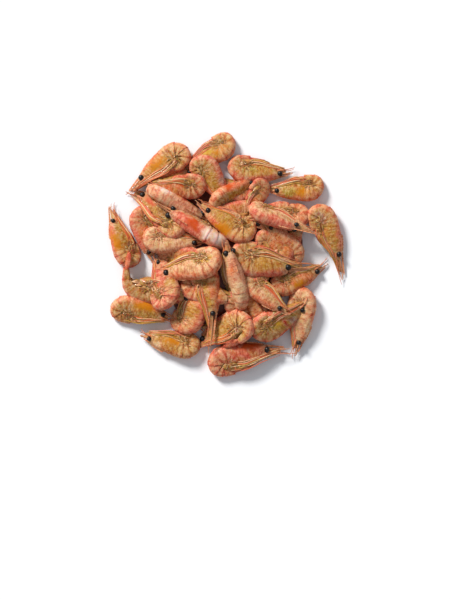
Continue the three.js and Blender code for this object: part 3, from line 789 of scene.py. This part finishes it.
# Antennal scales: two leaf-shaped plates beside the beak, pale and thin, stiff along their outer edge.
SCALE_START, SCALE_HALF, SCALE_THICK = 24.0, 2.7, 0.25
SCALE_ROWS, SCALE_COLUMNS = 10, 5
scales = Pieces()
for shrimp in shrimps:
    random = np.random.default_rng(500 + shrimp["number"])
    length = min(max(shrimp["beak"] * 0.85, 7.0), 17.0)
    for hand in (-1, 1):
        share = np.linspace(0, 1, SCALE_ROWS)[:, None]
        across = np.linspace(-1, 1, SCALE_COLUMNS)[None, :]
        oval = np.sqrt(np.clip(1 - (1.6 * share - 0.58) ** 2 * 0.95, 0.012, 1))
        outline = SCALE_HALF * oval * (1 - 0.35 * share)
        angle = random.uniform(-0.04, 0.06)
        roof = math.radians(random.uniform(48, 64))
        u = SCALE_START + share * (length + 1)
        w = hand * (2.6 - share * 1.9 + share * length * angle * 0.4 + across * outline * math.cos(roof))
        v = 1.4 + share * random.uniform(0.4, 2.0) - 0.35 * across ** 2 - across * outline * math.sin(roof)
        grid = np.stack(np.broadcast_arrays(u, v, w), -1)
        under = grid - SCALE_THICK * np.array([0, math.cos(roof), hand * math.sin(roof)])
        tints = mixed("#CFA064", "#C87440", smooth_step(0.5, 1.0, across) + 0 * share)
        plate(scales, shrimp, grid, under, tints, pattern_place(shrimp, -u, w / 5))
scales.object("shrimp_antennal_scales", cooked_shell)

# Eyes: black glossy balls on short stalks. Cooked, they are a little cloudy: a thin brown veil lies over the
# black. Geometry Nodes put one ball on each point, sized by the point.
VEIL_PER_M = 350.0
BALL_SEGMENTS, BALL_RINGS = 16, 10
boiled_eye, tree, shader = material("boiled_black_eye")
place_in_eye = node(tree, "ShaderNodeTexCoord").outputs["Object"]
veil = noise(tree, place_in_eye, VEIL_PER_M)
colour = mix(tree, ramp(tree, veil, 0.45, 0.72), linear("#0A0504"), linear("#2C2016"))
give(tree, shader, Base_Color=colour, Roughness=0.4, Specular_IOR_Level=0.3, Coat_Weight=0.1,
     Coat_Roughness=0.15)


def node_group(name, **inputs):
    """A Geometry Nodes tree with inputs of the given types, and the node that holds them."""
    group = bpy.data.node_groups.new(name, "GeometryNodeTree")
    for key, kind in inputs.items():
        group.interface.new_socket(key.replace("_", " "), in_out="INPUT", socket_type="NodeSocket" + kind)
    group.interface.new_socket("Result", in_out="OUTPUT", socket_type="NodeSocketGeometry")
    return group, node(group, "NodeGroupInput").outputs


def end_group(group, geometry, finish):
    """Shades the tree's geometry smooth, gives it its material and hands it out."""
    smooth = node(group, "GeometryNodeSetShadeSmooth", None, Geometry=geometry)
    covered = node(group, "GeometryNodeSetMaterial", None, Geometry=smooth.outputs[0], Material=finish)
    node(group, "NodeGroupOutput", None, Result=covered.outputs[0])


group, given = node_group("balls_on_points", Points="Geometry", Ball_radius="Float")
size = node(group, "GeometryNodeInputNamedAttribute", {"data_type": "FLOAT_VECTOR"}, Name="size")
ball = node(group, "GeometryNodeMeshUVSphere", None, Segments=BALL_SEGMENTS, Rings=BALL_RINGS,
            Radius=given["Ball radius"])
balls = node(group, "GeometryNodeInstanceOnPoints", None, Points=given["Points"],
             Instance=ball.outputs["Mesh"], Scale=size.outputs["Attribute"])
real = node(group, "GeometryNodeRealizeInstances", None, Geometry=balls.outputs[0])
end_group(group, real.outputs[0], boiled_eye)


def grown(name, seed_mesh, tree, values):
    """Runs a Geometry Nodes tree on a mesh of points or lines and keeps the result as a plain mesh."""
    seed_object = bpy.data.objects.new(name + "_seed", seed_mesh)
    scene.collection.objects.link(seed_object)
    modifier = seed_object.modifiers.new("grow", "NODES")
    modifier.node_group = tree
    sockets = {item.name: item.identifier for item in tree.interface.items_tree if item.in_out == "INPUT"}
    for key, value in values.items():
        modifier[sockets[key]] = value
    depsgraph = bpy.context.evaluated_depsgraph_get()
    mesh = bpy.data.meshes.new_from_object(seed_object.evaluated_get(depsgraph), depsgraph=depsgraph)
    mesh.name = name
    bpy.data.objects.remove(seed_object)
    return rides(name, mesh)


def size_of(shrimp):
    return float(np.linalg.norm(shrimp["place"][:3, 0]))


EYE_RADIUS = 2.35
eye_points, eye_sizes = [], []
for shrimp in seen:
    random = np.random.default_rng(700 + shrimp["number"])
    for hand in (-1, 1):
        there = to_heap(shrimp, np.array([EYE_U + random.uniform(-0.3, 0.3), EYE_V, hand * EYE_W]))
        there[2] = max(there[2], EYE_RADIUS * size_of(shrimp))
        eye_points.append((there * MM).tolist())
        eye_sizes.extend(size_of(shrimp) * random.uniform(0.84, 1.10, 3))
eye_seed = mesh_of("eye_points", eye_points, [], [], size=("FLOAT_VECTOR", eye_sizes))
grown("shrimp_eyes", eye_seed, group, {"Ball radius": EYE_RADIUS * MM})

# Legs, feelers and bristles: five walking legs and a jaw leg on each side, folded forward under the chest,
# the swimming legs in the curl, the feelers' stalks and whips, and the strands, marks and bristles over them.
# Each is a line of points with its own thickness, and Geometry Nodes turn the lines into tapered tubes.
BANDS_PER_M = 900.0
limb_shell, tree, shader = material("thin_limb_shell")
spot = node(tree, "ShaderNodeTexCoord").outputs["Object"]
bands, tint = noise(tree, spot, BANDS_PER_M), attribute(tree, "tint", "Color")
colour = mix(tree, scaled(tree, ramp(tree, bands, 0.45, 0.65), 0.45), tint, linear("#B24A24"))
give(tree, shader, Base_Color=colour, Roughness=0.42, Subsurface_Weight=0.15,
     Subsurface_Radius=(1.0, 0.4, 0.2), Subsurface_Scale=0.8 * MM, Coat_Weight=0.1)

group, given = node_group("tubes_on_lines", Lines="Geometry", Sides="Int")
thick = node(group, "GeometryNodeInputNamedAttribute", {"data_type": "FLOAT"}, Name="thick")
lines = node(group, "GeometryNodeMeshToCurve", None, Mesh=given["Lines"])
ring = node(group, "GeometryNodeCurvePrimitiveCircle", None, Resolution=given["Sides"], Radius=1.0)
tubes = node(group, "GeometryNodeCurveToMesh", None, Curve=lines.outputs[0], Profile_Curve=ring.outputs[0],
             Scale=thick.outputs["Attribute"], Fill_Caps=True)
end_group(group, tubes.outputs[0], limb_shell)


class Lines:
    """Collects lines of points with a thickness and a tint at each point."""

    def __init__(self):
        self.points, self.edges, self.thick, self.tints = [], [], [], []

    def add(self, shrimp, own, thick, colour):
        """own: the line's corners in own coordinates. They are joined by a smooth curve."""
        own = np.asarray(own, float)
        own[:, 1] = stretched(own[:, 1], shrimp["stretch"])
        corners = np.arange(len(own))
        fine = np.linspace(0, len(own) - 1, 3 * (len(own) - 1) + 1)
        curve = np.stack([through(fine, corners, own[:, k]) for k in range(3)], -1)
        width = np.interp(fine, corners, thick)
        first = len(self.points)
        self.points.extend((to_heap(shrimp, curve) * MM).tolist())
        self.edges.extend((first + i, first + i + 1) for i in range(len(fine) - 1))
        self.thick.extend((width * size_of(shrimp) * MM).tolist())
        self.tints.extend([linear(colour)] * len(fine))

    def seed(self, name):
        return mesh_of(name, self.points, self.edges, [], thick=("FLOAT", self.thick),
                       tint=("FLOAT_COLOR", self.tints))


def one_of(random, items):
    return items[random.integers(len(items))]


LEG_COLOURS = ["#C08C50", "#CC9660", "#B4683A", "#B08A3E", "#D0A070"]
STRAND_COLOURS = ["#DEB080", "#DC7238", "#D67E5C", "#C49438", "#E2BE8E", "#D25C2C"]
MARK_COLOURS = ["#8A5C2A", "#C89C3C", "#96622E", "#E2BE84", "#B86038", "#8C7632"]
BRISTLE_COLOURS = ["#B8984A", "#D8B47C", "#8E5A26", "#CC7C48", "#7A4A20"]
STRANDS, MARKS, BRISTLES, WALKING_LEGS, SWIMMING_LEGS = 8, 44, 64, 5, 5
# The marks lie round the middle of the curl.
MARKS_U, MARKS_V = -4.0, -7.0
# Where the walking legs are rooted, how far forward of that their knees are, and where they run together.
FIRST_ROOT, ROOT_STEP, LEG_KNEE, LEGS_MEET = 17.5, 3.3, 4, 24
STALK_TIP_U, NARROWS_TO_U = 30.5, 26
# Thickness at the corners, in mm, and the colour where there is only one.
WALKING_LEG, SWIMMING_LEG = [0.75, 0.72, 0.66, 0.58, 0.45, 0.16], [0.6, 1.0, 0.25]
JAW_LEG = [0.9, 0.8, 0.6, 0.2], "#C87A48"
SHORT_WHIP, LONG_WHIP = ([0.42, 0.32, 0.24, 0.1], "#D2986C"), ([0.5, 0.36, 0.26, 0.1], "#CC7C50")
STRAND, MARK, BRISTLE = np.array([0.3, 0.50, 0.55, 0.48, 0.16]), [0.30, 0.26, 0.08], [0.26, 0.22, 0.07]
# Stalks of the two feelers and of the eye: their corners as u, v and w, their thickness and their colour.
STALKS = [([(24.5, 2.2, 1.2), (28, 2.6, 1.1), (31, 3.0, 1.0)], [1.0, 0.95, 0.7], "#D08A58"),
          ([(23.5, 0.2, 2.6), (27, 0.0, 2.8), (29.5, 0.2, 2.7)], [1.2, 1.15, 0.8], "#CC7C4C"),
          ([(24.2, 3.2, 1.2), (25.6, 3.1, 2.2), (EYE_U, EYE_V, EYE_W)], [1.2, 1.1, 1.4], "#C88050")]
legs, whips, bristles = Lines(), Lines(), Lines()
for shrimp in seen:
    random = np.random.default_rng(900 + shrimp["number"])
    beak = shrimp["beak"]
    # Strands and marks lie on the side that shows, or on both where the shrimp lies with its back up.
    upper = shrimp["place"][2, 2] / size_of(shrimp)
    for hand in (-1, 1) if abs(upper) < 0.5 else (math.copysign(1, upper),):
        for _ in range(STRANDS):
            depth, start = random.uniform(-0.12, 1.15), random.uniform(-6, 5)
            far = MOUTH_U + min(beak, 18) * random.uniform(0.25, 0.85)
            stray = random.uniform(-1.6, 1.6)
            first_v = strand_v(start, depth) + random.uniform(-1.2, 1.2)
            path = [(start, first_v, hand * random.uniform(4.6, 5.4))]
            for u, rise, out in ((9, 0.5, 5.8), (16, 0.6, 5.3), (23, 0.4, 4.1), (far, 0.8, 1.2)):
                v = strand_v(u, depth) + random.uniform(-0.4, 0.4) + rise * stray
                path.append((u, v, hand * (out + 0.5 * random.random())))
            thick = STRAND * random.uniform(0.65, 1.15)
            whips.add(shrimp, path, thick, one_of(random, STRAND_COLOURS))
        for _ in range(MARKS):
            turn, near = random.uniform(0, 2 * math.pi), random.uniform(1.0, 5.5)
            far, swing = near + random.uniform(1.5, 4.0), random.normal(0, 0.15)
            ways = ((near, turn), ((near + far) / 2, turn + swing / 2), (far, turn + swing))
            path = [(MARKS_U + reach * math.cos(way), MARKS_V + reach * math.sin(way),
                     hand * (6.0 - 0.05 * max(reach - 5, 0) ** 2)) for reach, way in ways]
            bristles.add(shrimp, path, MARK, one_of(random, MARK_COLOURS))
    for hand in (-1, 1):
        for k in range(WALKING_LEGS):
            root = FIRST_ROOT - ROOT_STEP * k
            knee = root + LEG_KNEE
            depth = 0.06 + 0.2 * k + random.uniform(-0.07, 0.07)
            far = MOUTH_U + min(beak, 14) * random.uniform(0.0, 0.6)
            path = [(root, -5.0, hand * 2.6)]
            for u in (root - 2.5, knee, 0.5 * (knee + LEGS_MEET), LEGS_MEET, far):
                v = strand_v(u, depth) + random.uniform(-0.35, 0.35)
                path.append((u, v, hand * (bundle_half(min(u, NARROWS_TO_U)) + random.uniform(0.0, 0.45))))
            legs.add(shrimp, path, WALKING_LEG, one_of(random, LEG_COLOURS))
        reach = min(max(beak * 0.8, 5), 16)
        path = [(21, -2.6, hand * 1.6), (25, -3.2, hand * 1.9), (26 + reach * 0.5, -1.6, hand * 1.5),
                (26 + reach, 0.2 + random.uniform(-0.8, 0.8), hand * 0.9)]
        legs.add(shrimp, path, *JAW_LEG)
        for corners, thick, colour in STALKS:
            legs.add(shrimp, [(u, v, hand * w) for u, v, w in corners], thick, colour)
        for side, rise in ((0.5, 0.5), (1.2, -0.3)):
            length = beak * random.uniform(0.7, 1.12) + 1.5
            bend = random.uniform(-2.0, 2.0)
            path = [(STALK_TIP_U, 3.0, hand * side),
                    (STALK_TIP_U + length * 0.4, 3.1 + rise, hand * side * 1.1),
                    (STALK_TIP_U + length * 0.75, 3.0 + rise + bend * 0.4, hand * side * 0.9),
                    (27 + length, 2.6 + bend, hand * side * 0.6)]
            whips.add(shrimp, path, *SHORT_WHIP)
        length = beak * random.uniform(0.6, 1.3) + 3
        bend = random.uniform(-4.0, 2.0)
        path = [(29.3, 0.2, hand * 2.7), (29.3 + length * 0.4, -0.4, hand * 2.6),
                (29.3 + length * 0.8, bend * 0.5, hand * 1.6), (28 + length, bend, hand * 0.6)]
        whips.add(shrimp, path, *LONG_WHIP)
        for k in range(SWIMMING_LEGS):
            root = ring_starts[k] + 2.5
            base = shrimp["at"](root, -through(root, SECTION_AT, BELLY) * 0.8, 0.0)[:2]
            aim = np.array([7.0 - 2.2 * k + random.uniform(-1.5, 1.5), -9.6 + random.uniform(-1.5, 1.0)])
            step = aim - base
            step = step / max(np.linalg.norm(step), 1e-6) * random.uniform(5.5, 8.0)
            for fork in (-0.7, 0.7):
                side = np.array([-step[1], step[0]]) * 0.12 * fork
                w = hand * random.uniform(1.6, 3.4)
                path = [(*base, hand * 2.2), (*(base + step * 0.5 + side), w),
                        (*(base + step + side), w * 0.9)]
                legs.add(shrimp, path, SWIMMING_LEG, one_of(random, LEG_COLOURS))
    for _ in range(BRISTLES):
        start, depth, hand = random.uniform(-7, 17), random.uniform(-0.05, 1.05), random.choice([-1, 1])
        run, slant = random.uniform(4, 11), random.normal(0.0, 0.16)
        path = []
        for share in (0.0, 0.5, 1.0):
            u = start + run * share
            v = strand_v(u, depth) + slant * run * (share - 0.5) + random.uniform(-0.25, 0.25)
            path.append((u, v, hand * (bundle_half(min(u, NARROWS_TO_U)) + random.uniform(0.1, 0.6))))
        bristles.add(shrimp, path, BRISTLE, one_of(random, BRISTLE_COLOURS))
grown("shrimp_legs", legs.seed("leg_lines"), group, {"Sides": 6})
grown("shrimp_whips", whips.seed("whip_lines"), group, {"Sides": 5})
grown("shrimp_bristles", bristles.seed("bristle_lines"), group, {"Sides": 3})

# Core: what carries the shrimps that show, a low packed mound of shrimp. Its base is flat. Its dark maroon
# colour is painted shade: it stands for the deep shade that the gaps between the shrimps show.
CORE_RINGS, CORE_SECTORS, JUST_INSIDE = 18, 64, 0.9999
core = Pieces()
radius = (np.arange(1, CORE_RINGS + 1) / CORE_RINGS)[:, None]
turn = np.linspace(0, 2 * np.pi, CORE_SECTORS, endpoint=False)[None, :]
reach = core_reach(turn)
x, y = reach * radius * np.cos(turn), reach * radius * np.sin(turn)
z = core_height(x * JUST_INSIDE, y * JUST_INSIDE)
top = np.stack([x, y, z], -1)
lumps = 1.2 * uneven(top, 77, 16.0) + 0.5 * uneven(top, 78, 6.0)
top[..., 2] = np.maximum(z + (lumps - 1.5) * smooth_step(0, 4, z), 0)
foot = top[-1:] * [1, 1, 0]
grid = np.concatenate([top[:1] * [0.05, 0.05, 1.0], top, foot * [0.6, 0.6, 1.0], foot * [0.05, 0.05, 1.0]])
# The core's tint, #6E2412, is a dark maroon of painted shade.
tube(core, dict(place=np.eye(4)), grid, rgb("#6E2412"), grid)
core.object("heap_core_painted_shade", moist_flesh)
